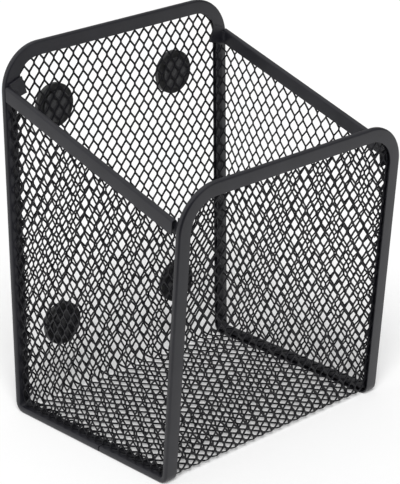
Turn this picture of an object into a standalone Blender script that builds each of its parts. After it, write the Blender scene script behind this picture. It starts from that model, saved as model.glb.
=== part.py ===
"""Magnetic pen holder: a cup of expanded steel mesh, edged with steel channel, with magnets on its back.

+Z is up, +X is across to the right, the front faces -Y and the magnets face +Y. The origin is the bottom
centre of the bounding box. Lengths are in metres, written as millimetres times MM.

The front, floor and back are one sheet. It is laid out flat in coordinates (u, v, n), edged with the channel,
and then folded: u runs across, v along the sheet from the front's top to the back's top, and n is the height
above the sheet, towards the inside of the cup. The sheet is parted just above its two folds, and each side panel
along the bends of its flanges, so that every part of them is a simple solid.
"""

import math

import bmesh
import bpy
from mathutils import Vector

MM = 0.001

# The cup
WIDTH = 100 * MM
BACK_HEIGHT = 130 * MM
FRONT_HEIGHT = 103 * MM
FLOOR_DEPTH = 77 * MM  # outside of the back to outside of the front, at desk height
FRONT_LEAN = math.radians(5.4)  # the front leans outwards from the upright
CORNER_RADIUS = 15 * MM  # outside radius of the rounded top corners
FOLD_RADIUS = 2.5 * MM  # of the sheet's middle surface, where it folds up from the floor

# Sheet metal
SHEET = 0.5 * MM
CHANNEL_WALL = 0.5 * MM
CHANNEL_LIP = 4.8 * MM
CLEARANCE = 0.3 * MM  # between neighbouring pieces
SEAM_GAP = 0.4 * MM  # between the channel's two ends
SEAM_FROM_BACK = 44 * MM  # the seam's distance from the outside of the back

# Diamonds of the mesh, drawn far coarser than the real 4.2 by 6.5 mm
DIAMOND_WIDTH = 12 * MM
DIAMOND_LENGTH = 18.6 * MM
STRAND = 1.9 * MM
SLIVER_SHARE = 0.12  # an opening cut down to less than this share of a diamond stays closed
CLOSE_POINTS = 0.02 * MM

# Side panels and their sloping rims
RIM_BELOW_BACK = 12.5 * MM  # from the back's top to the rim's top, where they meet
RIM_BELOW_FRONT = 10.7 * MM  # from the front's top to the rim's top, where they meet
RIM_LIP = 4.8 * MM
FLANGE_REACH = 5.8 * MM  # from the side's outside to the flange's inner edge
FLANGE_BEND = 1.2 * MM
TAB_REACH = 7.3 * MM  # from the side's outside to the tab's inner end
TAB_BEND = 1.0 * MM

# Shell magnets: a disc in a flat steel cup
MAGNET_FROM_SIDE = 23 * MM  # from a side's outside to a centre
MAGNET_FROM_TOP = 24.6 * MM  # from the back's top to the upper centres
MAGNET_FROM_FLOOR = 25.6 * MM  # from the desk to the lower centres
CUP_RADIUS = 7.7 * MM
CUP_HEIGHT = 2 * MM
CUP_WALL = 1.0 * MM
CUP_BASE = 0.6 * MM
CUP_CHAMFER = 0.3 * MM
PAD_RADIUS = 5.5 * MM
PAD_THICKNESS = 0.3 * MM

# Facets
CORNER_STEPS = 8
FOLD_STEPS = 4
BEND_STEPS = 3
ROUND_STEPS = 32
SHARP_ANGLE = math.radians(30)
MERGE_DISTANCE = 0.001 * MM

# What follows from the sizes above
THICKNESS = SHEET + 2 * CLEARANCE + 2 * CHANNEL_WALL  # across the channel's two lips
MIDDLE = THICKNESS / 2  # from an outer face to the sheet's middle surface
EDGE_INSET = CHANNEL_WALL + CLEARANCE  # from the channel's outside to the sheet's edge
BACK_FOLD = FOLD_RADIUS * math.pi / 2  # length of sheet in the fold at the back
FRONT_TURN = math.pi / 2 - FRONT_LEAN
FRONT_FOLD = FOLD_RADIUS * FRONT_TURN  # length of sheet in the fold at the front
FLOOR_BACK_Y = -MIDDLE - FOLD_RADIUS  # where the flat of the floor ends, with y = 0 on the back's outside
FLOOR_FRONT_Y = (
    -FLOOR_DEPTH
    - MIDDLE * math.tan(FRONT_LEAN)
    + MIDDLE / math.cos(FRONT_LEAN)
    + FOLD_RADIUS * math.tan(FRONT_TURN / 2)
)
FLOOR_LENGTH = FLOOR_BACK_Y - FLOOR_FRONT_Y
FOLD_TOP = MIDDLE + FOLD_RADIUS * (1 - math.sin(FRONT_LEAN))  # height where the front's flat begins
BACK_END = BACK_FOLD + BACK_HEIGHT - MIDDLE - FOLD_RADIUS  # v at the back's top
FRONT_FLAT = -FLOOR_LENGTH - FRONT_FOLD  # v where the front's flat begins
FRONT_END = FRONT_FLAT - (FRONT_HEIGHT - FOLD_TOP) / math.cos(FRONT_LEAN)  # v at the front's top


def fold(u, v, n):
    """The place in the folded cup of a point on the flat sheet, with y = 0 on the back's outside."""
    if v > BACK_FOLD:
        return Vector((u, -MIDDLE - n, MIDDLE + FOLD_RADIUS + v - BACK_FOLD))
    radius = FOLD_RADIUS - n
    centre_z = MIDDLE + FOLD_RADIUS
    if v > 0:
        turn = v / FOLD_RADIUS
        return Vector((u, FLOOR_BACK_Y + radius * math.sin(turn), centre_z - radius * math.cos(turn)))
    if v >= -FLOOR_LENGTH:
        return Vector((u, FLOOR_BACK_Y + v, MIDDLE + n))
    turn = min((-FLOOR_LENGTH - v) / FOLD_RADIUS, FRONT_TURN)
    rise = max(FRONT_FLAT - v, 0)
    y = FLOOR_FRONT_Y - radius * math.sin(turn) - rise * math.sin(FRONT_LEAN)
    return Vector((u, y, centre_z - radius * math.cos(turn) + rise * math.cos(FRONT_LEAN)))


def fold_all(bm):
    for vertex in bm.verts:
        vertex.co = fold(*vertex.co)


def make_material(name, colour, roughness, metallic):
    made = bpy.data.materials.new(name)
    made.use_nodes = True
    shader = made.node_tree.nodes["Principled BSDF"]
    shader.inputs["Base Color"].default_value = (*colour, 1)
    shader.inputs["Roughness"].default_value = roughness
    shader.inputs["Metallic"].default_value = metallic
    return made


def make_object(name, bm, material, parent):
    """Turns a finished bmesh into an object under the holder's empty."""
    bmesh.ops.remove_doubles(bm, verts=bm.verts, dist=MERGE_DISTANCE)
    bmesh.ops.recalc_face_normals(bm, faces=bm.faces)
    mesh = bpy.data.meshes.new(name)
    bm.to_mesh(mesh)
    bm.free()
    mesh.materials.append(material)
    made = bpy.data.objects.new(name, mesh)
    made.parent = parent
    bpy.context.collection.objects.link(made)
    return made


def thicken(made, thickness):
    """Gives a middle surface its thickness, half to each side."""
    solidify = made.modifiers.new("Thickness", "SOLIDIFY")
    solidify.thickness = thickness
    solidify.offset = 0
    solidify.use_even_offset = True
    solidify.use_quality_normals = True


def draw_out(bm, edges, move):
    """Extrudes a row of edges along a vector and returns the new row."""
    made = bmesh.ops.extrude_edge_only(bm, edges=edges)["geom"]
    moved = {item for item in made if isinstance(item, bmesh.types.BMVert)}
    bmesh.ops.translate(bm, verts=list(moved), vec=move)
    return [item for item in made if isinstance(item, bmesh.types.BMEdge) and set(item.verts) <= moved]


def turn_out(bm, edges, centre, axis, angle, steps, rise=Vector()):
    """Spins a row of edges about an axis while it moves by rise, and returns the new row."""
    row = list({vertex for edge in edges for vertex in edge.verts}) + edges
    move = rise / steps
    last = bmesh.ops.spin(bm, geom=row, cent=centre, axis=axis, angle=angle, steps=steps, dvec=move)["geom_last"]
    return [item for item in last if isinstance(item, bmesh.types.BMEdge)]


def add_loop(bm, points):
    """Adds a closed loop of edges through the points."""
    verts = [bm.verts.new(point) for point in points]
    return [bm.edges.new((verts[i - 1], verts[i])) for i in range(len(verts))]


def add_line(bm, points):
    """Adds an open row of edges through the points."""
    verts = [bm.verts.new(point) for point in points]
    return [bm.edges.new(pair) for pair in zip(verts, verts[1:])]


def clip(polygon, window):
    """The part of a polygon that lies in a convex window, with both running anticlockwise."""
    for start, end in zip(window, window[1:] + window[:1]):
        depths = [(end - start).cross(point - start) for point in polygon]
        kept = []
        for i, point in enumerate(polygon):
            if (depths[i] < 0) != (depths[i - 1] < 0):
                kept.append(polygon[i - 1].lerp(point, depths[i - 1] / (depths[i - 1] - depths[i])))
            if depths[i] >= 0:
                kept.append(point)
        polygon = kept
    return [point for i, point in enumerate(polygon) if (point - polygon[i - 1]).length > CLOSE_POINTS]


def area(polygon):
    return sum(polygon[i - 1].cross(point) for i, point in enumerate(polygon)) / 2


def openings(window):
    """The mesh's diamonds, centred on a window and cut off at its edge. Slivers stay closed."""
    window = [Vector(point) for point in window]
    low = Vector((min(point.x for point in window), min(point.y for point in window)))
    high = Vector((max(point.x for point in window), max(point.y for point in window)))
    centre = (low + high) / 2
    a = DIAMOND_WIDTH / 2
    b = DIAMOND_LENGTH / 2
    open_share = 1 - STRAND / 2 * math.hypot(a, b) / (a * b)
    corners = [Vector(corner) * open_share for corner in ((a, 0), (0, b), (-a, 0), (0, -b))]
    across = math.ceil((high.x - centre.x) / a)
    along = math.ceil((high.y - centre.y) / b)
    found = []
    for i in range(-across, across + 1):
        for j in range(-along, along + 1):
            if (i + j) % 2:
                continue
            middle = centre + Vector((a * i, b * j))
            opening = clip([middle + corner for corner in corners], window)
            if area(opening) > SLIVER_SHARE * area(corners):
                found.append(opening)
    return found


def fill_net(bm, outline, window, place):
    """Fills an outline and leaves the window's diamonds open. place puts a flat point in the mesh."""
    edges = add_loop(bm, [place(*point) for point in outline])
    for opening in openings(window):
        edges += add_loop(bm, [place(*point) for point in opening])
    bmesh.ops.triangle_fill(bm, use_beauty=True, edges=edges)


def rounded_panel(half_width, straight_end, round_end, radius):
    """A front or back panel's outline, anticlockwise: square at straight_end and rounded at round_end."""
    way = math.copysign(1, round_end - straight_end)
    centre_u = half_width - radius
    centre_v = round_end - way * radius
    points = [(-half_width, straight_end), (half_width, straight_end)]
    for step in range(CORNER_STEPS + 1):
        turn = step / CORNER_STEPS * math.pi / 2
        points.append((centre_u + radius * math.cos(turn), centre_v + way * radius * math.sin(turn)))
    points += [(-u, v) for u, v in reversed(points[2:])]
    return points if way > 0 else points[::-1]


def rectangle(half_width, low, high):
    return [(-half_width, low), (half_width, low), (half_width, high), (-half_width, high)]


def make_wrap(steel, holder):
    """The folded sheet: nets for the back and front, and one for the floor with plain strips in its two folds."""
    half = WIDTH / 2 - EDGE_INSET
    net_half = WIDTH / 2 - CHANNEL_LIP
    sheet_radius = CORNER_RADIUS - EDGE_INSET
    net_radius = CORNER_RADIUS - CHANNEL_LIP

    def flat(u, v):
        return (u, v, 0)

    def finish(name, bm):
        fold_all(bm)
        thicken(make_object(name, bm, steel, holder), SHEET)

    for name, fold_end, round_end in (("back", BACK_FOLD, BACK_END), ("front", FRONT_FLAT, FRONT_END)):
        way = math.copysign(1, round_end - fold_end)
        start = fold_end + way * CLEARANCE
        outline = rounded_panel(half, start, round_end - way * EDGE_INSET, sheet_radius)
        window = rounded_panel(net_half, start + way * STRAND, round_end - way * CHANNEL_LIP, net_radius)
        bm = bmesh.new()
        fill_net(bm, outline, window, flat)
        finish(f"{name}_mesh", bm)
    bm = bmesh.new()
    floor = rectangle(half, -FLOOR_LENGTH, 0)
    fill_net(bm, floor, rectangle(net_half, STRAND / 2 - FLOOR_LENGTH, -STRAND / 2), flat)
    for start, length in ((0, BACK_FOLD), (-FLOOR_LENGTH, -FRONT_FOLD)):
        edges = add_line(bm, [(-half, start, 0), (half, start, 0)])
        for _ in range(FOLD_STEPS):
            edges = draw_out(bm, edges, (0, length / FOLD_STEPS, 0))
    finish("floor_mesh", bm)


def make_edge_channel(steel, holder):
    """The U-section strip round the flat sheet, from the seam to the seam, folded with the sheet."""
    lip_n = MIDDLE - CHANNEL_WALL / 2
    web_u = WIDTH / 2 - CHANNEL_WALL / 2
    lip_u = WIDTH / 2 - CHANNEL_LIP
    seam_v = -SEAM_FROM_BACK - FLOOR_BACK_Y
    round_u = WIDTH / 2 - CORNER_RADIUS
    round_back = BACK_END - CORNER_RADIUS
    round_front = FRONT_END + CORNER_RADIUS
    folds = [BACK_FOLD * step / FOLD_STEPS for step in range(FOLD_STEPS + 1)]
    folds += [-FLOOR_LENGTH - FRONT_FOLD * step / FOLD_STEPS for step in range(FOLD_STEPS + 1)]
    stops = sorted(folds + [round_back, round_front])
    section = [(-lip_u, lip_n), (-web_u, lip_n), (-web_u, -lip_n), (-lip_u, -lip_n)]
    bm = bmesh.new()
    start = seam_v + SEAM_GAP / 2
    edges = add_line(bm, [(u, start, n) for u, n in section])

    def run(edges, at, legs):
        for stop in legs:
            edges = draw_out(bm, edges, (0, stop - at, 0))
            at = stop
        return edges

    def corner(edges, u, v):
        return turn_out(bm, edges, (u, v, 0), (0, 0, 1), -math.pi / 2, CORNER_STEPS)

    edges = run(edges, start, [stop for stop in stops if stop > seam_v])
    edges = corner(edges, -round_u, round_back)
    edges = draw_out(bm, edges, (2 * round_u, 0, 0))
    edges = corner(edges, round_u, round_back)
    edges = run(edges, round_back, stops[-2::-1])
    edges = corner(edges, round_u, round_front)
    edges = draw_out(bm, edges, (-2 * round_u, 0, 0))
    edges = corner(edges, -round_u, round_front)
    run(edges, round_front, [stop for stop in stops[1:] if stop < seam_v] + [seam_v - SEAM_GAP / 2])
    fold_all(bm)
    thicken(make_object("edge_channel", bm, steel, holder), CHANNEL_WALL)


def behind_front(z, inset):
    """The y at height z of the line that lies this far behind the front's outside."""
    return -FLOOR_DEPTH - z * math.tan(FRONT_LEAN) + inset / math.cos(FRONT_LEAN)


# The sloping line along the top of a side rim, in the plane of y and z
RIM_BACK_HEIGHT = BACK_HEIGHT - RIM_BELOW_BACK
RIM_FRONT_HEIGHT = FRONT_HEIGHT - RIM_BELOW_FRONT
RIM_BACK_Y = -THICKNESS
RIM_FRONT_Y = behind_front(RIM_FRONT_HEIGHT, THICKNESS)
RIM_SLOPE = math.atan2(RIM_BACK_HEIGHT - RIM_FRONT_HEIGHT, RIM_BACK_Y - RIM_FRONT_Y)


def under_rim(y, depth):
    """The height at y of the line that lies this deep under the rim's top."""
    return RIM_BACK_HEIGHT + (y - RIM_BACK_Y) * math.tan(RIM_SLOPE) - depth / math.cos(RIM_SLOPE)


def front_corner(inset, depth):
    """Where a line behind the front meets a line under the rim, as (y, z)."""
    z_at_zero = under_rim(0, depth)
    slope = math.tan(RIM_SLOPE)
    z = (z_at_zero + slope * behind_front(0, inset)) / (1 + slope * math.tan(FRONT_LEAN))
    return behind_front(z, inset), z


UP_AXIS = Vector((0, 0, 1))
LEAN_AXIS = Vector((0, -math.sin(FRONT_LEAN), math.cos(FRONT_LEAN)))
# Distances from the outside of the back, front or floor
TAB_SEAT = THICKNESS + CLEARANCE + CHANNEL_WALL / 2  # to the middle of a tab
FLANGE_SEAT = THICKNESS + CLEARANCE + SHEET / 2  # to the middle of a flange
RIM_END = TAB_SEAT + TAB_BEND  # to the end of a rim's straight run
PANEL_END = FLANGE_SEAT + FLANGE_BEND  # to the edge of a side panel's flat
# A rim's tabs, which run on along its slope: they climb at the back and drop at the front
TAB_ARC = TAB_BEND * math.pi / 2  # length of strip in the bend
TAB_FLAT = TAB_REACH - THICKNESS + CHANNEL_WALL / 2 - TAB_BEND  # and beyond it
BACK_CLIMB = math.tan(RIM_SLOPE)
FRONT_CLIMB = -math.tan(RIM_SLOPE - FRONT_LEAN)


def mirrored(bm, side):
    """Moves a piece built for the right side to the left where side is -1."""
    bmesh.ops.scale(bm, vec=(side, 1, 1), verts=bm.verts)


def make_side_mesh(name, side, steel, holder):
    """A side panel's flat net."""
    x = WIDTH / 2 - MIDDLE

    def corners(edge, depth):
        return [
            (behind_front(edge, edge), edge),
            (-edge, edge),
            (-edge, under_rim(-edge, depth)),
            front_corner(edge, depth),
        ]

    edge = PANEL_END + CLEARANCE
    bm = bmesh.new()
    outline = corners(edge, CHANNEL_WALL + CLEARANCE)
    fill_net(bm, outline, corners(edge + STRAND, RIM_LIP), lambda y, z: (x, y, z))
    mirrored(bm, side)
    thicken(make_object(f"{name}_side_mesh", bm, steel, holder), SHEET)


def make_flanges(name, side, steel, holder):
    """A side panel's floor, back and front edges, folded inwards against the edge channel."""
    x = WIDTH / 2 - MIDDLE
    bend_x = x - FLANGE_BEND
    reach = Vector((WIDTH / 2 - FLANGE_REACH - bend_x, 0, 0))
    low = PANEL_END + CLEARANCE
    back_top = under_rim(-RIM_END, RIM_LIP) - CLEARANCE
    front_top = front_corner(RIM_END, RIM_LIP)[1] + (TAB_ARC + TAB_FLAT) * FRONT_CLIMB - CLEARANCE

    def at_front(z):
        return (x, behind_front(z, PANEL_END), z)

    def at_back(z):
        return (x, -PANEL_END, z)

    for edge, start, end, axis, angle in (
        ("floor", at_front(PANEL_END), at_back(PANEL_END), (0, 1, 0), math.pi / 2),
        ("back", at_back(low), at_back(back_top), UP_AXIS, math.pi / 2),
        ("front", at_front(front_top), at_front(low), LEAN_AXIS, -math.pi / 2),
    ):
        bm = bmesh.new()
        row = add_line(bm, [start, end])
        row = turn_out(bm, row, (bend_x, *start[1:]), axis, angle, BEND_STEPS)
        draw_out(bm, row, reach)
        mirrored(bm, side)
        thicken(make_object(f"{name}_{edge}_flange", bm, steel, holder), SHEET)


def make_side_rim(name, side, steel, holder):
    """A U-section rim over the side's sloping edge. Its inner lip is bent into a tab at each end, which keeps
    the rim's slope, and its outer lip runs on to the back."""
    outer_x = WIDTH / 2 - CHANNEL_WALL / 2
    inner_x = WIDTH / 2 - THICKNESS + CHANNEL_WALL / 2
    bend_x = inner_x - TAB_BEND
    depths = (RIM_LIP, CHANNEL_WALL / 2)
    lip_end = -THICKNESS - CLEARANCE
    back_lip = [(lip_end, under_rim(lip_end, depth)) for depth in depths]
    back_end = [(-RIM_END, under_rim(-RIM_END, depth)) for depth in depths]
    front_end = [front_corner(RIM_END, depth) for depth in depths]
    bm = bmesh.new()
    rows = []
    for outer, inner, axis, angle, climb in (
        (back_lip, back_end, UP_AXIS, math.pi / 2, BACK_CLIMB),
        (front_end, front_end, LEAN_AXIS, -math.pi / 2, FRONT_CLIMB),
    ):
        low, high = inner
        rows += add_line(bm, [*((outer_x, *point) for point in outer), (inner_x, *high), (inner_x, *low)])
        edges = add_line(bm, [(inner_x, *low), (inner_x, *high)])
        edges = turn_out(bm, edges, (bend_x, *low), axis, angle, BEND_STEPS, axis * TAB_ARC * climb)
        draw_out(bm, edges, axis * TAB_FLAT * climb - Vector((TAB_FLAT, 0, 0)))
    bmesh.ops.bridge_loops(bm, edges=rows)
    mirrored(bm, side)
    thicken(make_object(f"{name}_side_rim", bm, steel, holder), CHANNEL_WALL)


def turned(profile, x, z):
    """A round solid from a profile of (radius, y), turned about the line along y through x and z."""
    bm = bmesh.new()
    row = add_line(bm, [(x + radius, y, z) for radius, y in profile])
    row += bm.verts[:]
    centre = (x, 0, z)
    bmesh.ops.spin(bm, geom=row, cent=centre, axis=(0, 1, 0), angle=math.tau, steps=ROUND_STEPS, use_merge=True)
    return bm


PAD_Y = -MIDDLE + SHEET / 2 + CLEARANCE  # the pad's face towards the mesh
CUP_Y = PAD_Y + PAD_THICKNESS + CLEARANCE
FACE_Y = CUP_Y + CUP_HEIGHT  # where the magnets touch a wall


def make_magnet(place, x, z, cup_steel, nickel, adhesive, holder):
    """A flat steel cup with a disc magnet flush in its open face, bonded to the mesh by a pad."""
    bore = CUP_RADIUS - CUP_WALL
    cup = [
        (0, CUP_Y),
        (CUP_RADIUS - CUP_CHAMFER, CUP_Y),
        (CUP_RADIUS, CUP_Y + CUP_CHAMFER),
        (CUP_RADIUS, FACE_Y),
        (bore, FACE_Y),
        (bore, CUP_Y + CUP_BASE),
        (0, CUP_Y + CUP_BASE),
    ]
    disc_radius = bore - CLEARANCE
    disc_y = CUP_Y + CUP_BASE + CLEARANCE
    disc = [(0, disc_y), (disc_radius, disc_y), (disc_radius, FACE_Y), (0, FACE_Y)]
    pad_end = PAD_Y + PAD_THICKNESS
    pad = [(0, PAD_Y), (PAD_RADIUS, PAD_Y), (PAD_RADIUS, pad_end), (0, pad_end)]
    pieces = (("cup", cup, cup_steel), ("disc", disc, nickel), ("pad", pad, adhesive))
    for piece, profile, material in pieces:
        made = make_object(f"magnet_{piece}_{place}", turned(profile, x, z), material, holder)
        made.data.shade_smooth()
        made.data.set_sharp_from_angle(angle=SHARP_ANGLE)


def make_holder():
    for old in list(bpy.data.objects):
        bpy.data.objects.remove(old)
    front_y = fold(0, FRONT_END, -MIDDLE).y
    holder = bpy.data.objects.new("pen_holder", None)
    holder.location.y = -(FACE_Y + front_y) / 2
    bpy.context.collection.objects.link(holder)
    coated_steel = make_material("black powder-coated steel", (0.024, 0.024, 0.026), 0.42, 0.0)
    mesh_steel = make_material("black powder-coated mesh", (0.016, 0.016, 0.018), 0.45, 0.0)
    cup_steel = make_material("black lacquered steel", (0.02, 0.02, 0.021), 0.5, 0.0)
    nickel = make_material("nickel-plated magnet", (0.32, 0.31, 0.28), 0.3, 1.0)
    adhesive = make_material("black adhesive", (0.03, 0.03, 0.031), 0.6, 0.0)
    make_wrap(mesh_steel, holder)
    make_edge_channel(coated_steel, holder)
    for name, side in (("left", -1), ("right", 1)):
        make_side_mesh(name, side, mesh_steel, holder)
        make_flanges(name, side, mesh_steel, holder)
        make_side_rim(name, side, coated_steel, holder)
    magnet_x = WIDTH / 2 - MAGNET_FROM_SIDE
    for row, z in (("top", BACK_HEIGHT - MAGNET_FROM_TOP), ("bottom", MAGNET_FROM_FLOOR)):
        for column, x in (("left", -magnet_x), ("right", magnet_x)):
            make_magnet(f"{row}_{column}", x, z, cup_steel, nickel, adhesive, holder)


make_holder()
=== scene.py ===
"""Looks of the magnetic pen holder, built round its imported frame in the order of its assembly."""

import math

import bmesh
import bpy
from mathutils import Matrix, Vector


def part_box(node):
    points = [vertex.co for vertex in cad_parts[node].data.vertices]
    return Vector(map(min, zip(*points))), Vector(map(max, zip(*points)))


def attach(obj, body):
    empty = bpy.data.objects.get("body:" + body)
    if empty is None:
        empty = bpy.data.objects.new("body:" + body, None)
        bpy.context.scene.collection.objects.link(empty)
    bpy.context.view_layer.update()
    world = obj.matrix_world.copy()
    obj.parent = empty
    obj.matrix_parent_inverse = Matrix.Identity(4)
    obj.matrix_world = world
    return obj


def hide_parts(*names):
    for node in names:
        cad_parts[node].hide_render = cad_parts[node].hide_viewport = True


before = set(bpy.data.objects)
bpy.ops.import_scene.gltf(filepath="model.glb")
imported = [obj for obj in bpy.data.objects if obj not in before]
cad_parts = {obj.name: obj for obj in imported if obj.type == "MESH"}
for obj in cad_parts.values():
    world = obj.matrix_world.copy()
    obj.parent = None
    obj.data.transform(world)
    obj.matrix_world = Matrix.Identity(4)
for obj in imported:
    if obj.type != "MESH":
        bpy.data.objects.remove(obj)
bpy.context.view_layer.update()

# Folded sheet
# One sheet of expanded mild steel, slit, stretched into diamonds and bent up twice into front, floor and
# back. Its strands stand slightly tipped, as the stretching leaves them, and the channel hides its edge.

MM = 0.001
DIAMOND_WIDTH = 4.2 * MM
DIAMOND_LENGTH = 6.535 * MM
BOND = 0.9 * MM  # length of the upright join between two strands
STRAND = 0.62 * MM
STRAND_THICKNESS = 0.32 * MM
STRAND_TIP = math.radians(1)
SHEET_REACH = Vector((60, 160)) * MM  # half the size of the flat mesh that the sheet is cut from

# The mesh isn't quite true, and its rows slant differently at the back and at the front. For each of them,
# this is where the flat sheet's middle opening would lie if the whole sheet were like it, and the steps from
# one diamond to the next across the sheet and along it.
BACK_OPENING = Vector((-2.32, -21.9)) * MM
BACK_ACROSS = Vector((4.207, -0.073)) * MM
BACK_ALONG = Vector((0.159, 6.414)) * MM
FRONT_OPENING = Vector((-3.41, -22.39)) * MM
FRONT_ACROSS = Vector((4.205, 0.027)) * MM
FRONT_ALONG = Vector((0.113, 6.656)) * MM

FRONT_BOW = 0.8 * MM  # the front is dished inwards by this in its middle
CHANNEL_LIP = 4.8 * MM  # how far the edge channel's lips reach over the sheet
FOLD_RADIUS = 2.5 * MM
FOLD_STEPS = 4
FRONT_LEAN = math.radians(5.4)
FRONT_TURN = math.pi / 2 - FRONT_LEAN
CORNER_RADIUS = 15 * MM  # outside radius of the rims' top corners
CORNER_TRIMS = 5  # straight cuts round each of the sheet's corners

channel_low, channel_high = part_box("edge_channel")
back_low, back_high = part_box("back_mesh")
front_low, front_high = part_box("front_mesh")
half_width = channel_high.x
half_sheet = (back_high.y - back_low.y) / 2
edge_inset = half_width - back_high.x  # from the channel's outside to the sheet's edge
back_y = (back_low.y + back_high.y) / 2  # middle surfaces of the back and the floor
floor_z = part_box("floor_mesh")[0].z + half_sheet
floor_back = back_y - FOLD_RADIUS  # where the floor's flat ends
front_top_y = front_low.y + half_sheet * math.cos(FRONT_LEAN)
front_top_z = front_high.z - half_sheet * math.sin(FRONT_LEAN)
front_foot = front_top_y + (front_top_z - floor_z) * math.tan(FRONT_LEAN)
floor_front = front_foot + FOLD_RADIUS * math.tan(FRONT_TURN / 2)
floor_length = floor_back - floor_front
back_fold = FOLD_RADIUS * math.pi / 2
front_flat = -floor_length - FOLD_RADIUS * FRONT_TURN
fold_top = floor_z + FOLD_RADIUS * (1 - math.sin(FRONT_LEAN))
sheet_back_end = back_fold + back_high.z - floor_z - FOLD_RADIUS
sheet_front_end = front_flat - (front_top_z - fold_top) / math.cos(FRONT_LEAN)
sheet_radius = CORNER_RADIUS - edge_inset
lip_edge = half_width - CHANNEL_LIP
front_lip_edge = sheet_front_end - edge_inset + CHANNEL_LIP


def bend_up(point):
    """Folds a point of the flat sheet: x across, y from the floor's back edge up the back, z inwards."""
    x, along, inward = point
    radius = FOLD_RADIUS - inward
    centre_z = floor_z + FOLD_RADIUS
    if along > back_fold:
        return Vector((x, back_y - inward, centre_z + along - back_fold))
    if along > 0:
        turn = along / FOLD_RADIUS
        return Vector((x, floor_back + radius * math.sin(turn), centre_z - radius * math.cos(turn)))
    if along >= -floor_length:
        return Vector((x, floor_back + along, floor_z + inward))
    turn = min((-floor_length - along) / FOLD_RADIUS, FRONT_TURN)
    rise = max(front_flat - along, 0)
    y = floor_front - radius * math.sin(turn) - rise * math.sin(FRONT_LEAN)
    return Vector((x, y, centre_z - radius * math.cos(turn) + rise * math.cos(FRONT_LEAN)))


def fold_lines():
    """Where the sheet's two folds are cut across, so that they bend as arcs."""
    shares = [step / FOLD_STEPS for step in range(FOLD_STEPS + 1)]
    back = [share * back_fold for share in shares]
    return back + [-floor_length + share * (front_flat + floor_length) for share in shares]


def stretch_mesh(width, length, strand, reach):
    """A flat sheet of true expanded mesh round one opening at the origin, reaching this far each way."""
    columns = 2 * math.ceil(2 * reach.x / width)
    rows = 2 * math.ceil(2 * reach.y / length)
    bm = bmesh.new()
    bmesh.ops.create_grid(bm, x_segments=columns, y_segments=rows, size=1)
    bmesh.ops.scale(bm, vec=(columns * width / 4, rows * length / 4, 1), verts=bm.verts)

    def half_diamonds(vertex):
        """Counts the half diamonds from the middle to a corner, across and along together."""
        return round(vertex.co.x / (width / 2)) + round(vertex.co.y / (length / 2))

    # Cells joined two by two are laid like bricks, and moving their corners up and down in turn makes each
    # brick a diamond with short upright sides.
    upright = [edge for edge in bm.edges if abs(edge.verts[0].co.x - edge.verts[1].co.x) < width / 4]
    inner = [edge for edge in upright if len(edge.link_faces) == 2]
    closed = [edge for edge in inner if min(map(half_diamonds, edge.verts)) % 2]
    raised = [vertex for vertex in bm.verts if half_diamonds(vertex) % 2 == 0]
    lowered = [vertex for vertex in bm.verts if half_diamonds(vertex) % 2]
    bmesh.ops.dissolve_edges(bm, edges=closed)
    rise = (length / 2 - BOND) / 2
    bmesh.ops.translate(bm, verts=raised, vec=(0, rise, 0))
    bmesh.ops.translate(bm, verts=lowered, vec=(0, -rise, 0))
    openings = bm.faces[:]
    bmesh.ops.inset_individual(bm, faces=openings, thickness=strand / 2, use_even_offset=True)
    for face in openings:
        middle = face.calc_center_median()
        for vertex in face.verts:
            vertex.co.z = (middle.x - vertex.co.x) * math.tan(STRAND_TIP)
    bmesh.ops.delete(bm, geom=openings, context="FACES")
    bmesh.ops.translate(bm, verts=bm.verts, vec=(0, length / 4, 0))
    return bm


def lay(point, width, length, opening, across, along):
    """Moves a point of a true mesh to where it lies on a mesh with this opening and these steps."""
    spot = opening + across * (point.x / width) + along * (point.y / length)
    return Vector((spot.x, spot.y, point.z))


def swell(left, right, low, high):
    """From 0 at a panel's four edges to 1 in its middle, by the distances from the edges."""
    if min(left, right, low, high) <= 0:
        return 0
    level = 4 * left * right / (left + right) ** 2
    upright = 4 * low * high / (low + high) ** 2
    return level * upright


def shear(bm, point, outward, clear=True):
    """Cuts a mesh along a plane, and if clear is set takes away what lies beyond it."""
    everything = bm.verts[:] + bm.edges[:] + bm.faces[:]
    bmesh.ops.bisect_plane(bm, geom=everything, plane_co=point, plane_no=outward, clear_outer=clear)


def linear(code):
    """An sRGB hex colour as linear red, green, blue and alpha."""
    parts = [int(code[start : start + 2], 16) / 255 for start in (1, 3, 5)]
    return [part / 12.92 if part <= 0.04045 else ((part + 0.055) / 1.055) ** 2.4 for part in parts] + [1]


def add_node(tree, kind, inputs, **settings):
    """Adds a node with its settings. An input is a value, or the socket that feeds it."""
    node = tree.nodes.new(kind)
    for name, value in settings.items():
        setattr(node, name, value)
    for name, value in inputs.items():
        if isinstance(value, bpy.types.NodeSocket):
            tree.links.new(value, node.inputs[name])
        else:
            node.inputs[name].default_value = value
    return node


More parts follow.
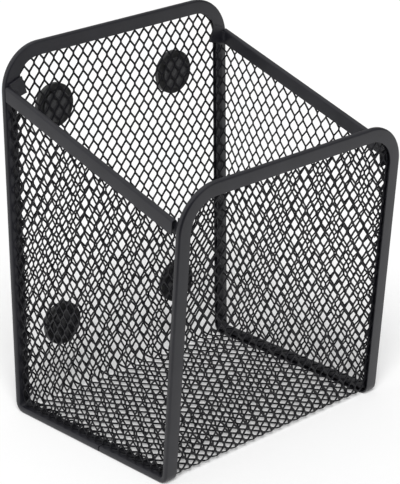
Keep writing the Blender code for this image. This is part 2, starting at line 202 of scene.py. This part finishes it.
def powder_coat(name, dark, light, roughness, shine, peel):
    """Black polyester powder baked on steel: satin, faintly uneven in tone, with a fine orange peel."""
    cloud = 7 * MM  # size of the uneven patches
    grit = 0.35 * MM  # the powder's real grains are far finer, and are drawn coarser so that they show
    gloss_change = 0.06
    peel_depth = 0.03 * MM
    peel_strength = 0.35
    tone_ends = (0.3, 0.7)  # between these levels of the cloud the tone goes from dark to light
    material = bpy.data.materials.new(name)
    material.use_nodes = True
    tree = material.node_tree
    shader = tree.nodes["Principled BSDF"]
    shader.inputs["IOR"].default_value = 1.5
    shader.inputs["Specular IOR Level"].default_value = shine
    place = add_node(tree, "ShaderNodeTexCoord", {}).outputs["Object"]
    tone = add_node(tree, "ShaderNodeTexNoise", {"Vector": place, "Scale": 1 / cloud, "Detail": 3.0})
    speck = add_node(tree, "ShaderNodeTexNoise", {"Vector": place, "Scale": 1 / grit, "Detail": 1.0})
    waves = add_node(tree, "ShaderNodeTexNoise", {"Vector": place, "Scale": 1 / peel, "Detail": 2.0})
    ramp = add_node(tree, "ShaderNodeValToRGB", {"Fac": tone.outputs["Fac"]})
    for element, position, code in zip(ramp.color_ramp.elements, tone_ends, (dark, light)):
        element.position = position
        element.color = linear(code)
    gloss = add_node(
        tree,
        "ShaderNodeMapRange",
        {
            "Value": speck.outputs["Fac"],
            "To Min": roughness - gloss_change,
            "To Max": roughness + gloss_change,
        },
    )
    bump = add_node(
        tree,
        "ShaderNodeBump",
        {"Height": waves.outputs["Fac"], "Strength": peel_strength, "Distance": peel_depth},
    )
    tree.links.new(ramp.outputs["Color"], shader.inputs["Base Color"])
    tree.links.new(gloss.outputs["Result"], shader.inputs["Roughness"])
    tree.links.new(bump.outputs["Normal"], shader.inputs["Normal"])
    return material


def fit(name, bm, material, slot, *nodes):
    """Makes a finished mesh a piece of the holder, in place of these solids."""
    mesh = bpy.data.meshes.new(name)
    bm.to_mesh(mesh)
    bm.free()
    mesh.materials.append(material)
    mesh.shade_smooth()
    piece = bpy.data.objects.new(name, mesh)
    bpy.context.scene.collection.objects.link(piece)
    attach(piece, "root")
    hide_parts(*nodes)
    return piece


def thicken(piece, thickness):
    """Gives a sheet its thickness, half to each side."""
    wall = piece.modifiers.new("Thickness", "SOLIDIFY")
    wall.thickness = thickness
    wall.offset = 0
    wall.use_even_offset = True


# Powder on fine strands: a deep, slightly cool black with hardly any shine
mesh_coat = powder_coat(
    "powder-coated expanded steel",
    dark="#101014",
    light="#151519",
    roughness=0.45,
    shine=0.15,
    peel=0.5 * MM,
)
sheet = stretch_mesh(DIAMOND_WIDTH, DIAMOND_LENGTH, STRAND, SHEET_REACH)
for vertex in sheet.verts:
    at_back = lay(vertex.co, DIAMOND_WIDTH, DIAMOND_LENGTH, BACK_OPENING, BACK_ACROSS, BACK_ALONG)
    at_front = lay(vertex.co, DIAMOND_WIDTH, DIAMOND_LENGTH, FRONT_OPENING, FRONT_ACROSS, FRONT_ALONG)
    share = 1 + (at_back.y + at_front.y) / 2 / floor_length  # from 0 at the front's fold to 1 at the back's
    vertex.co = at_front.lerp(at_back, min(max(share, 0), 1))
for side in (-1, 1):
    shear(sheet, (side * back_high.x, 0, 0), (side, 0, 0))
for end, way in ((sheet_back_end, 1), (sheet_front_end, -1)):
    shear(sheet, (0, end, 0), (0, way, 0))
    for side in (-1, 1):
        centre = Vector((side * (half_width - CORNER_RADIUS), end - way * sheet_radius, 0))
        for trim in range(CORNER_TRIMS):
            turn = math.pi / 2 * (trim + 0.5) / CORNER_TRIMS
            outward = Vector((side * math.cos(turn), way * math.sin(turn), 0))
            shear(sheet, centre + outward * sheet_radius, outward)
for line in fold_lines():
    shear(sheet, (0, line, 0), (0, 1, 0), clear=False)
for vertex in sheet.verts:
    x, along, inward = vertex.co
    bow = FRONT_BOW * swell(lip_edge + x, lip_edge - x, front_flat - along, along - front_lip_edge)
    vertex.co = bend_up((x, along, inward + bow))
sheet_solids = ("front_mesh", "floor_mesh", "back_mesh")
folded_sheet = fit("folded_sheet", sheet, mesh_coat, "coated_mesh", *sheet_solids)
thicken(folded_sheet, STRAND_THICKNESS)

# Edge channel
# A strip of mild steel rolled to a narrow U, clamped round the sheet's whole edge and bent up with it. Its
# two ends butt together halfway along the left floor rail, under the same black powder coat.

CHANNEL_WALL = 0.5 * MM
CHANNEL_BEND = 0.5 * MM  # radius of the wall's middle between web and lip
BEND_STEPS = 4
CORNER_STEPS = 24
SEAM_GAP = 0.4 * MM
SEAM_FROM_BACK = 44 * MM
EDGE_ROUND = 0.12 * MM
EDGE_ANGLE = math.radians(50)  # a bend sharper than this is a cut edge

channel_half = channel_high.y - back_y  # from the sheet's middle to the channel's outside
lip_offset = channel_half - CHANNEL_WALL / 2  # from the sheet's middle to the middle of a lip
web_x = half_width - CHANNEL_WALL / 2
seam = channel_high.y - SEAM_FROM_BACK - floor_back
round_x = half_width - CORNER_RADIUS
round_back = sheet_back_end + edge_inset - CORNER_RADIUS
round_front = sheet_front_end - edge_inset + CORNER_RADIUS


def add_row(bm, points):
    """Adds an open row of edges through the points."""
    verts = [bm.verts.new(point) for point in points]
    return [bm.edges.new(pair) for pair in zip(verts, verts[1:])]


def draw_out(bm, row, move):
    """Extrudes a row of edges along a vector, and gives the new row."""
    made = bmesh.ops.extrude_edge_only(bm, edges=row)["geom"]
    moved = {item for item in made if isinstance(item, bmesh.types.BMVert)}
    bmesh.ops.translate(bm, verts=list(moved), vec=move)
    return [item for item in made if isinstance(item, bmesh.types.BMEdge) and set(item.verts) <= moved]


def turn_out(bm, row, centre, axis, angle, steps, rise=Vector()):
    """Spins a row of edges about an axis while it moves by rise, and gives the new row."""
    made = bmesh.ops.spin(
        bm,
        geom=list({vertex for edge in row for vertex in edge.verts}) + row,
        cent=centre,
        axis=axis,
        angle=angle,
        steps=steps,
        dvec=rise / steps,
    )
    return [item for item in made["geom_last"] if isinstance(item, bmesh.types.BMEdge)]


def run_on(bm, row, at, stops):
    """Extrudes a row of edges along the sheet from stop to stop, and gives the last row."""
    for stop in stops:
        row = draw_out(bm, row, (0, stop - at, 0))
        at = stop
    return row


def round_corner(bm, row, x, y):
    """Turns a row of edges through one of the sheet's rounded corners, and gives the new row."""
    return turn_out(bm, row, (x, y, 0), (0, 0, 1), -math.pi / 2, CORNER_STEPS)


def u_section(lip_end, web, half_gap):
    """A U with rounded bends, from one lip's edge to the other's, as pairs of reach and height."""
    points = [(lip_end, half_gap)]
    way = math.copysign(1, web - lip_end)
    for start, up in ((math.pi / 2, 1), (0, -1)):
        for step in range(BEND_STEPS + 1):
            turn = start - math.pi / 2 * step / BEND_STEPS
            reach = web - way * CHANNEL_BEND * (1 - math.cos(turn))
            points.append((reach, up * (half_gap - CHANNEL_BEND) + CHANNEL_BEND * math.sin(turn)))
    return points + [(lip_end, -half_gap)]


def soften(piece):
    """Rounds the cut edges of a steel strip a little, as the coat leaves them."""
    edges = piece.modifiers.new("Edges", "BEVEL")
    edges.width = EDGE_ROUND
    edges.segments = 2
    edges.limit_method = "ANGLE"
    edges.angle_limit = EDGE_ANGLE
    edges.harden_normals = True


# The same powder on smooth strip: a satin black that takes a soft grey sheen from the light
steel_coat = powder_coat(
    "powder-coated steel strip",
    dark="#16161b",
    light="#1d1d22",
    roughness=0.38,
    shine=0.43,
    peel=0.9 * MM,
)
strip = bmesh.new()
stops = sorted(fold_lines() + [round_back, round_front])
section = u_section(lip_edge, web_x, lip_offset)
# From the seam up the back's left leg, over its top, along the right side to the front, over that and back
row = add_row(strip, [(-reach, seam + SEAM_GAP / 2, height) for reach, height in section])
row = run_on(strip, row, seam + SEAM_GAP / 2, [stop for stop in stops if stop > seam])
row = round_corner(strip, row, -round_x, round_back)
row = draw_out(strip, row, (2 * round_x, 0, 0))
row = round_corner(strip, row, round_x, round_back)
row = run_on(strip, row, round_back, stops[-2::-1])
row = round_corner(strip, row, round_x, round_front)
row = draw_out(strip, row, (-2 * round_x, 0, 0))
row = round_corner(strip, row, -round_x, round_front)
run_on(strip, row, round_front, [stop for stop in stops[1:] if stop < seam] + [seam - SEAM_GAP / 2])
for vertex in strip.verts:
    vertex.co = bend_up(vertex.co)
bmesh.ops.recalc_face_normals(strip, faces=strip.faces)
edge_strip = fit("edge_strip", strip, steel_coat, "coated_steel", "edge_channel")
thicken(edge_strip, CHANNEL_WALL)
soften(edge_strip)

# Side panels
# Two flat pieces of much the same expanded steel. Their floor, back and front edges are folded inwards as
# narrow flanges and spot-welded to the channel, and their sloping top edge goes into the side rims.

SIDE_DIAMOND_WIDTH = 4.05 * MM
SIDE_DIAMOND_LENGTH = 6.45 * MM
SIDE_STRAND = 0.51 * MM
SIDE_REACH = Vector((56, 72)) * MM

# One opening, from the back's outside and the desk, and the steps from one diamond to the next
LEFT_OPENING = Vector((-41.8, 49.11)) * MM
LEFT_ACROSS = Vector((4.012, -0.021)) * MM
LEFT_ALONG = Vector((0.175, 6.474)) * MM
RIGHT_OPENING = Vector((-37.07, 54.37)) * MM
RIGHT_ACROSS = Vector((4.062, -0.073)) * MM
RIGHT_ALONG = Vector((0.128, 6.41)) * MM

LEFT_BOW = -2.5 * MM  # the thin panels aren't quite flat: the left one bows out, and the right one in
RIGHT_BOW = 3.5 * MM
FLANGE_BEND = 1.2 * MM
FLANGE_CUTS = 3  # lines across a flange's bend
RIM_BELOW_BACK = 12.5 * MM  # from the tops of the back and front to the rim's top
RIM_BELOW_FRONT = 10.7 * MM
RIM_LIP = 4.8 * MM

flange_arc = FLANGE_BEND * math.pi / 2
flange_inset = half_sheet + FLANGE_BEND  # from a flange's outside to its fold
front_height = front_top_z + edge_inset * math.cos(FRONT_LEAN)
lean_out = Vector((-math.cos(FRONT_LEAN), -math.sin(FRONT_LEAN)))


def behind_front(z, inset):
    """The y at height z of the line that lies this far behind the front's outside."""
    past_middle = (inset - channel_half) / math.cos(FRONT_LEAN)
    return front_foot - (z - floor_z) * math.tan(FRONT_LEAN) + past_middle


rim_back = Vector((channel_high.y - 2 * channel_half, channel_high.z - RIM_BELOW_BACK))
rim_front_z = front_height - RIM_BELOW_FRONT
rim_front = Vector((behind_front(rim_front_z, 2 * channel_half), rim_front_z))
rim_slope = math.atan2(rim_back.y - rim_front.y, rim_back.x - rim_front.x)
rim_normal = Vector((-math.sin(rim_slope), math.cos(rim_slope)))
rim_line = rim_back - RIM_LIP * rim_normal  # on the lower edge of the rim's lips


def flange_folds(name):
    """A side panel's folds at floor, back and front: a point on each, the way out and the flange's top."""
    floor_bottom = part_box(f"{name}_floor_flange")[0].z
    panel_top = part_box(f"{name}_side_mesh")[1].z
    back_flange_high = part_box(f"{name}_back_flange")[1]
    front_flange_low, front_flange_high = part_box(f"{name}_front_flange")
    front_corner = Vector((front_flange_low.y, front_flange_high.z))
    return (
        (Vector((0, floor_bottom + flange_inset)), Vector((0, -1)), panel_top),
        (Vector((back_flange_high.y - flange_inset, 0)), Vector((1, 0)), back_flange_high.z),
        (front_corner - flange_inset * lean_out, lean_out, front_flange_high.z),
    )


def notch(panel, folds):
    """Takes away what lies beyond two folds at once, or above a flange's top."""
    notched = []
    for face in panel.faces:
        spot = face.calc_center_median().xy
        tops = [top for corner, outward, top in folds if (spot - corner).dot(outward) > 0]
        if len(tops) > 1 or (tops and spot.y > tops[0]):
            notched.append(face)
    bmesh.ops.delete(panel, geom=notched, context="FACES")


def fold_in(point, corner, outward):
    """Folds what lies beyond a side panel's fold inwards. A point is y, z and how far inwards it lies."""
    beyond = (point.xy - corner).dot(outward)
    turn = min(beyond / FLANGE_BEND, math.pi / 2)
    radius = FLANGE_BEND - point.z
    along = (radius * math.sin(turn) - beyond) * outward
    inward = FLANGE_BEND - radius * math.cos(turn) + max(beyond - flange_arc, 0)
    return Vector((point.x + along.x, point.y + along.y, inward))


for name, side, opening, across, along, bow in (
    ("left", -1, LEFT_OPENING, LEFT_ACROSS, LEFT_ALONG, LEFT_BOW),
    ("right", 1, RIGHT_OPENING, RIGHT_ACROSS, RIGHT_ALONG, RIGHT_BOW),
):
    panel_low, panel_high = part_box(f"{name}_side_mesh")
    flange_low, flange_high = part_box(f"{name}_floor_flange")
    panel_x = (panel_low.x + panel_high.x) / 2
    flange_length = flange_arc + flange_high.x - flange_low.x - flange_inset
    folds = flange_folds(name)
    panel = stretch_mesh(SIDE_DIAMOND_WIDTH, SIDE_DIAMOND_LENGTH, SIDE_STRAND, SIDE_REACH)
    for vertex in panel.verts:
        vertex.co = lay(vertex.co, SIDE_DIAMOND_WIDTH, SIDE_DIAMOND_LENGTH, opening, across, along)
        vertex.co.x += channel_high.y
    for corner, outward, _ in folds:
        shear(panel, (corner + outward * flange_length).to_3d(), outward.to_3d())
    shear(panel, (panel_high.y, panel_high.z, 0), rim_normal.to_3d())
    for corner, outward, top in folds:
        for cut in range(FLANGE_CUTS):
            bend = flange_arc * cut / (FLANGE_CUTS - 1)
            shear(panel, (corner + outward * bend).to_3d(), outward.to_3d(), clear=False)
        shear(panel, (0, top, 0), (0, 1, 0), clear=False)
    notch(panel, folds)
    for vertex in panel.verts:
        spot = vertex.co.xy
        floor_gap, back_gap, front_gap = ((corner - spot).dot(outward) for corner, outward, _ in folds)
        vertex.co.z += bow * swell(back_gap, front_gap, floor_gap, (rim_line - spot).dot(rim_normal))
        for corner, outward, _ in folds:
            if (spot - corner).dot(outward) > 0:
                vertex.co = fold_in(vertex.co, corner, outward)
        y, z, inward = vertex.co
        vertex.co = (panel_x - side * inward, y, z)
    bmesh.ops.recalc_face_normals(panel, faces=panel.faces)
    panel_solids = [f"{name}_side_mesh", *(f"{name}_{edge}_flange" for edge in ("floor", "back", "front"))]
    thicken(fit(f"{name}_panel", panel, mesh_coat, "coated_mesh", *panel_solids), STRAND_THICKNESS)

# Side rims
# A straight length of the same U strip pressed down on each side panel's sloping edge. The inner lip runs on
# at both ends as a tab, bent inwards and spot-welded to the inside of the front and back channel. Each tab
# has a flat crest above the lip.

TAB_BEND = 1.0 * MM
TAB_GAP = 0.3 * MM  # between the tab and the channel that it is welded to
TAB_RISE = 1.8 * MM  # height of the crest
MERGE = 0.001 * MM  # points that lie closer are one

tab_seat = 2 * channel_half + TAB_GAP + CHANNEL_WALL / 2  # from the outside of the back or front
rim_end = tab_seat + TAB_BEND
tab_arc = TAB_BEND * math.pi / 2
rim_x = half_width - channel_half
bend_x = rim_x - lip_offset - TAB_BEND
crest_reach = TAB_BEND + lip_offset - CHANNEL_WALL  # from the tab's bend out over the web
up_axis = Vector((0, 0, 1))
lean_axis = Vector((0, -math.sin(FRONT_LEAN), math.cos(FRONT_LEAN)))
back_climb = math.tan(rim_slope)  # the tabs run on along the rim's slope
front_climb = -math.tan(rim_slope - FRONT_LEAN)


def under_rim(y, depth):
    """The height at y of the line that lies this deep under the rim's top."""
    return rim_back.y + (y - rim_back.x) * math.tan(rim_slope) - depth / math.cos(rim_slope)


def rim_front_end(depth):
    """Where that line meets the plane of the rim's front end, as y and z."""
    slope = math.tan(rim_slope)
    z = under_rim(behind_front(0, rim_end), depth) / (1 + slope * math.tan(FRONT_LEAN))
    return behind_front(z, rim_end), z


def rim_back_end(depth, aside):
    """The rim's back end as y and z. The inner lip stops short of the back, where it bends into the tab."""
    end = rim_end if math.isclose(aside, -lip_offset) else 2 * channel_half + TAB_GAP
    y = channel_high.y - end
    return y, under_rim(y, depth)


def cut_square(row, axis, climb, level):
    """Cuts a climbing tab's end square to its run, about the level of the lip's top."""
    for vertex in {vertex for edge in row for vertex in edge.verts}:
        vertex.co.x += climb * (vertex.co.dot(axis) - level)


section = u_section(-RIM_LIP, -CHANNEL_WALL / 2, lip_offset)
back_points = [(rim_x + aside, *rim_back_end(-reach, aside)) for reach, aside in section]
front_points = [(rim_x + aside, *rim_front_end(-reach)) for reach, aside in section]
for name, side in (("left", -1), ("right", 1)):
    rim_low, rim_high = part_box(f"{name}_side_rim")
    tab_flat = bend_x - min(abs(rim_low.x), abs(rim_high.x))
    rim = bmesh.new()
    ends = []
    for points, axis, angle, climb in (
        (back_points, up_axis, math.pi / 2, back_climb),
        (front_points, lean_axis, -math.pi / 2, front_climb),
    ):
        ends += add_row(rim, points)
        lip = add_row(rim, points[-2:])
        centre = (bend_x, *points[-1][1:])
        tab = turn_out(rim, lip, centre, axis, angle, BEND_STEPS, axis * tab_arc * climb)
        run = axis * climb - Vector((1, 0, 0))
        top = max((vertex.co.copy() for edge in tab for vertex in edge.verts), key=axis.dot)
        level = (top + run * tab_flat).dot(axis)
        cut_square(draw_out(rim, tab, run * tab_flat), axis, climb, level)
        outer = top - run * crest_reach
        crest = draw_out(rim, add_row(rim, [outer, outer + axis * TAB_RISE]), top - outer)
        cut_square(draw_out(rim, crest, run * tab_flat), axis, climb, level)
    bmesh.ops.bridge_loops(rim, edges=ends)
    bmesh.ops.scale(rim, vec=(side, 1, 1), verts=rim.verts)
    bmesh.ops.remove_doubles(rim, verts=rim.verts, dist=MERGE)
    bmesh.ops.recalc_face_normals(rim, faces=rim.faces)
    rim_piece = fit(f"{name}_rim", rim, steel_coat, "coated_steel", f"{name}_side_rim")
    thicken(rim_piece, CHANNEL_WALL)
    soften(rim_piece)

# Magnets
# Four shell magnets: a flat pressed steel cup, lacquered black, with a nickel-plated neodymium disc flush in
# its open face towards the wall. A round pad of black adhesive bonds each cup to the outside of the back.

ROUND_STEPS = 64
CUP_WALL = 1.0 * MM
CUP_CHAMFER = 0.3 * MM
CUP_EDGE = 0.15 * MM
DISC_EDGE = 0.2 * MM
PAD_EDGE = 0.1 * MM
SHARP = math.radians(30)  # an edge sharper than this stays crisp


def turned(profile, centre):
    """A round solid from a profile of radius and y, turned about the line along y through a centre."""
    bm = bmesh.new()
    row = add_row(bm, [(centre.x + radius, y, centre.z) for radius, y in profile])
    bmesh.ops.spin(
        bm,
        geom=row + bm.verts[:],
        cent=centre,
        axis=(0, 1, 0),
        angle=math.tau,
        steps=ROUND_STEPS,
        use_merge=True,
    )
    bmesh.ops.remove_doubles(bm, verts=bm.verts, dist=MERGE)
    bmesh.ops.recalc_face_normals(bm, faces=bm.faces)
    return bm


def grained(name, dark, light, roughness, grain, height):
    """A dull surface with a fine grain, as lacquer, plating and adhesive have, drawn coarser to show."""
    grain_strength = 0.5
    tone_ends = (0.35, 0.65)  # between these levels of the grain the tone goes from dark to light
    material = bpy.data.materials.new(name)
    material.use_nodes = True
    tree = material.node_tree
    shader = tree.nodes["Principled BSDF"]
    shader.inputs["Roughness"].default_value = roughness
    place = add_node(tree, "ShaderNodeTexCoord", {}).outputs["Object"]
    noise = add_node(tree, "ShaderNodeTexNoise", {"Vector": place, "Scale": 1 / grain, "Detail": 4.0})
    ramp = add_node(tree, "ShaderNodeValToRGB", {"Fac": noise.outputs["Fac"]})
    for element, position, code in zip(ramp.color_ramp.elements, tone_ends, (dark, light)):
        element.position = position
        element.color = linear(code)
    bump = add_node(
        tree,
        "ShaderNodeBump",
        {"Height": noise.outputs["Fac"], "Strength": grain_strength, "Distance": height},
    )
    tree.links.new(ramp.outputs["Color"], shader.inputs["Base Color"])
    tree.links.new(bump.outputs["Normal"], shader.inputs["Normal"])
    return material


# Sprayed lacquer: an even, dull black
lacquer = grained(
    "black lacquered steel",
    dark="#1c1c1d",
    light="#232324",
    roughness=0.5,
    grain=0.4 * MM,
    height=0.02 * MM,
)
# Barrel plating on a ground disc: a soft, warm silver that blurs what it mirrors
nickel = grained(
    "nickel-plated magnet",
    dark="#a9a59c",
    light="#bdb9b0",
    roughness=0.3,
    grain=0.5 * MM,
    height=0.01 * MM,
)
nickel.node_tree.nodes["Principled BSDF"].inputs["Metallic"].default_value = 1.0
# Set adhesive: a slightly lumpy dark grey with a soft sheen
glue = grained(
    "black adhesive",
    dark="#29292b",
    light="#353537",
    roughness=0.4,
    grain=0.6 * MM,
    height=0.1 * MM,
)
for place in ("top_left", "top_right", "bottom_left", "bottom_right"):
    cup_low, cup_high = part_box(f"magnet_cup_{place}")
    disc_low, disc_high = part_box(f"magnet_disc_{place}")
    pad_low, pad_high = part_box(f"magnet_pad_{place}")
    centre = (cup_low + cup_high) / 2
    cup_radius = (cup_high.x - cup_low.x) / 2
    disc_radius = (disc_high.x - disc_low.x) / 2
    pad_radius = (pad_high.x - pad_low.x) / 2
    bore = cup_radius - CUP_WALL
    cup_floor = disc_low.y - (bore - disc_radius)
    cup_profile = (
        (0, cup_low.y),
        (cup_radius - CUP_CHAMFER, cup_low.y),
        (cup_radius, cup_low.y + CUP_CHAMFER),
        (cup_radius, cup_high.y - CUP_EDGE),
        (cup_radius - CUP_EDGE, cup_high.y),
        (bore + CUP_EDGE, cup_high.y),
        (bore, cup_high.y - CUP_EDGE),
        (bore, cup_floor),
        (0, cup_floor),
    )
    disc_profile = (
        (0, disc_low.y),
        (disc_radius, disc_low.y),
        (disc_radius, disc_high.y - DISC_EDGE),
        (disc_radius - DISC_EDGE, disc_high.y),
        (0, disc_high.y),
    )
    pad_profile = (
        (0, pad_low.y),
        (pad_radius - PAD_EDGE, pad_low.y),
        (pad_radius, pad_low.y + PAD_EDGE),
        (pad_radius, pad_high.y - PAD_EDGE),
        (pad_radius - PAD_EDGE, pad_high.y),
        (0, pad_high.y),
    )
    for piece, profile, material, slot in (
        ("cup", cup_profile, lacquer, "magnet_cup"),
        ("disc", disc_profile, nickel, "magnet_disc"),
        ("pad", pad_profile, glue, "adhesive"),
    ):
        made = fit(f"{piece}_{place}", turned(profile, centre), material, slot, f"magnet_{piece}_{place}")
        made.data.set_sharp_from_angle(angle=SHARP)

# Studio
# A white paper floor under a soft dome that is brightest above on the left, and one large lamp high above
# the camera, whose shadow falls behind the holder. A black card before the holder, which shows in its
# gloss alone, gives the edges that face the camera a dark line.

FLOOR_SIZE = 8  # metres
FLOOR_GLOW = 0.15  # share of plain white that is seen on the floor, where the rest takes the shadow
DOME = 0.5  # strength of the dome's light
DOME_BRIGHTEST = Vector((-0.5, 0, 0.87))  # the way to the brightest part of the dome
DOME_ENDS = (0.15, 0.5)  # cosines of the angle from there, at which the dome is dim and bright
LAMP_FROM = Vector((-0.45, -0.48, 0.75))  # the way to the lamp
LAMP_SPREAD = math.radians(30)
LAMP_STRENGTH = 2.8
CARD_DISTANCE = 170 * MM
CARD_SIZE = 260 * MM
VIEW_AZIMUTH = math.radians(-43.03)
VIEW_ELEVATION = math.radians(21.74)
VIEW_ROLL = math.radians(-0.58)
VIEW_DISTANCE = 697.55 * MM
VIEW_CENTRE = Vector((0, 3.85, 55)) * MM  # what the camera is turned about
VIEW_ASIDE = 1.59 * MM  # and then moved by, to its right and up
VIEW_ABOVE = 4.26 * MM
IMAGE_HEIGHT = 484  # pixels, as is the focal length
FOCAL_PIXELS = 2053.9
SENSOR_WIDTH = 36  # millimetres


def backdrop_rays(tree):
    """1 for the rays that show the backdrop as it is: the camera's, glossy and transmission rays."""
    path = add_node(tree, "ShaderNodeLightPath", {})
    seen = add_node(
        tree,
        "ShaderNodeMath",
        {0: path.outputs["Is Camera Ray"], 1: path.outputs["Is Glossy Ray"]},
        operation="MAXIMUM",
    )
    through = add_node(
        tree,
        "ShaderNodeMath",
        {0: seen.outputs[0], 1: path.outputs["Is Transmission Ray"]},
        operation="MAXIMUM",
    )
    return through.outputs[0]


def matt(name, code):
    """A plain sheet without any shine, such as paper or felt."""
    material = bpy.data.materials.new(name)
    material.use_nodes = True
    shader = material.node_tree.nodes["Principled BSDF"]
    shader.inputs["Base Color"].default_value = linear(code)
    shader.inputs["Specular IOR Level"].default_value = 0.0
    return material


def stage_sheet(name, size, material):
    """A square sheet of the studio, flat at the origin."""
    bm = bmesh.new()
    bmesh.ops.create_grid(bm, x_segments=1, y_segments=1, size=size / 2)
    mesh = bpy.data.meshes.new(name)
    bm.to_mesh(mesh)
    bm.free()
    mesh.materials.append(material)
    sheet = bpy.data.objects.new(name, mesh)
    bpy.context.scene.collection.objects.link(sheet)
    return sheet


# White paper: it takes the shadow, and a little plain white keeps it from looking grey
paper = matt("white paper", "#fbfbfb")
tree = paper.node_tree
shader = tree.nodes["Principled BSDF"]
shader.inputs["Roughness"].default_value = 0.9
glow = add_node(tree, "ShaderNodeMath", {0: backdrop_rays(tree), 1: FLOOR_GLOW}, operation="MULTIPLY")
white = add_node(tree, "ShaderNodeEmission", {"Color": linear("#ffffff"), "Strength": 1.0})
mixed = add_node(
    tree,
    "ShaderNodeMixShader",
    {0: glow.outputs[0], 1: shader.outputs[0], 2: white.outputs[0]},
)
tree.links.new(mixed.outputs[0], tree.nodes["Material Output"].inputs["Surface"])
studio_floor = stage_sheet("studio_floor", FLOOR_SIZE, paper)
studio_floor.location.z = channel_low.z

world = bpy.data.worlds.new("studio")
world.use_nodes = True
bpy.context.scene.world = world
tree = world.node_tree
direction = add_node(tree, "ShaderNodeTexCoord", {}).outputs["Generated"]
towards = add_node(tree, "ShaderNodeVectorMath", {0: direction, 1: DOME_BRIGHTEST}, operation="DOT_PRODUCT")
ramp = add_node(tree, "ShaderNodeValToRGB", {"Fac": towards.outputs["Value"]})
for element, position, code in zip(ramp.color_ramp.elements, DOME_ENDS, ("#8c8c8c", "#ffffff")):
    element.position = position
    element.color = linear(code)
camera_ray = add_node(tree, "ShaderNodeLightPath", {}).outputs["Is Camera Ray"]
backdrop = add_node(
    tree,
    "ShaderNodeMix",
    {0: camera_ray, 6: ramp.outputs["Color"], 7: linear("#ffffff")},  # sockets of its factor and two colours
    data_type="RGBA",
)
strength = add_node(
    tree,
    "ShaderNodeMapRange",
    {"Value": backdrop_rays(tree), "To Min": DOME, "To Max": 1.0},
)
dome = tree.nodes["Background"]
tree.links.new(backdrop.outputs[2], dome.inputs["Color"])
tree.links.new(strength.outputs["Result"], dome.inputs["Strength"])

lamp_data = bpy.data.lights.new("softbox", "SUN")
lamp_data.angle = LAMP_SPREAD
lamp_data.energy = LAMP_STRENGTH
lamp = bpy.data.objects.new("softbox", lamp_data)
lamp.visible_glossy = False  # no round glints on the strip
lamp.rotation_euler = (-LAMP_FROM).to_track_quat("-Z", "Y").to_euler()
bpy.context.scene.collection.objects.link(lamp)

# Black felt: it gives back hardly any light
card = stage_sheet("black_card", CARD_SIZE, matt("black felt", "#0a0a0a"))
upright = Matrix.Translation((0, -CARD_DISTANCE, CARD_SIZE / 2)) @ Matrix.Rotation(math.pi / 2, 4, "X")
card.matrix_world = Matrix.Rotation(VIEW_AZIMUTH, 4, "Z") @ upright
card.visible_camera = False
card.visible_diffuse = False
card.visible_shadow = False

level_away = math.cos(VIEW_ELEVATION)
towards_eye = Vector(
    (
        math.sin(VIEW_AZIMUTH) * level_away,
        -math.cos(VIEW_AZIMUTH) * level_away,
        math.sin(VIEW_ELEVATION),
    )
)
roll = Matrix.Rotation(VIEW_ROLL, 3, towards_eye)
view_right = roll @ Vector((math.cos(VIEW_AZIMUTH), math.sin(VIEW_AZIMUTH), 0))
view_up = towards_eye.cross(view_right)
eye = VIEW_CENTRE + VIEW_ASIDE * view_right + VIEW_ABOVE * view_up + VIEW_DISTANCE * towards_eye
camera_data = bpy.data.cameras.new("camera")
camera_data.sensor_width = SENSOR_WIDTH
camera_data.lens = SENSOR_WIDTH * FOCAL_PIXELS / IMAGE_HEIGHT
camera = bpy.data.objects.new("camera", camera_data)
view_axes = Matrix((view_right, view_up, towards_eye)).transposed()
camera.matrix_world = Matrix.Translation(eye) @ view_axes.to_4x4()
bpy.context.scene.collection.objects.link(camera)
bpy.context.scene.camera = camera
bpy.context.scene.view_settings.view_transform = "Standard"
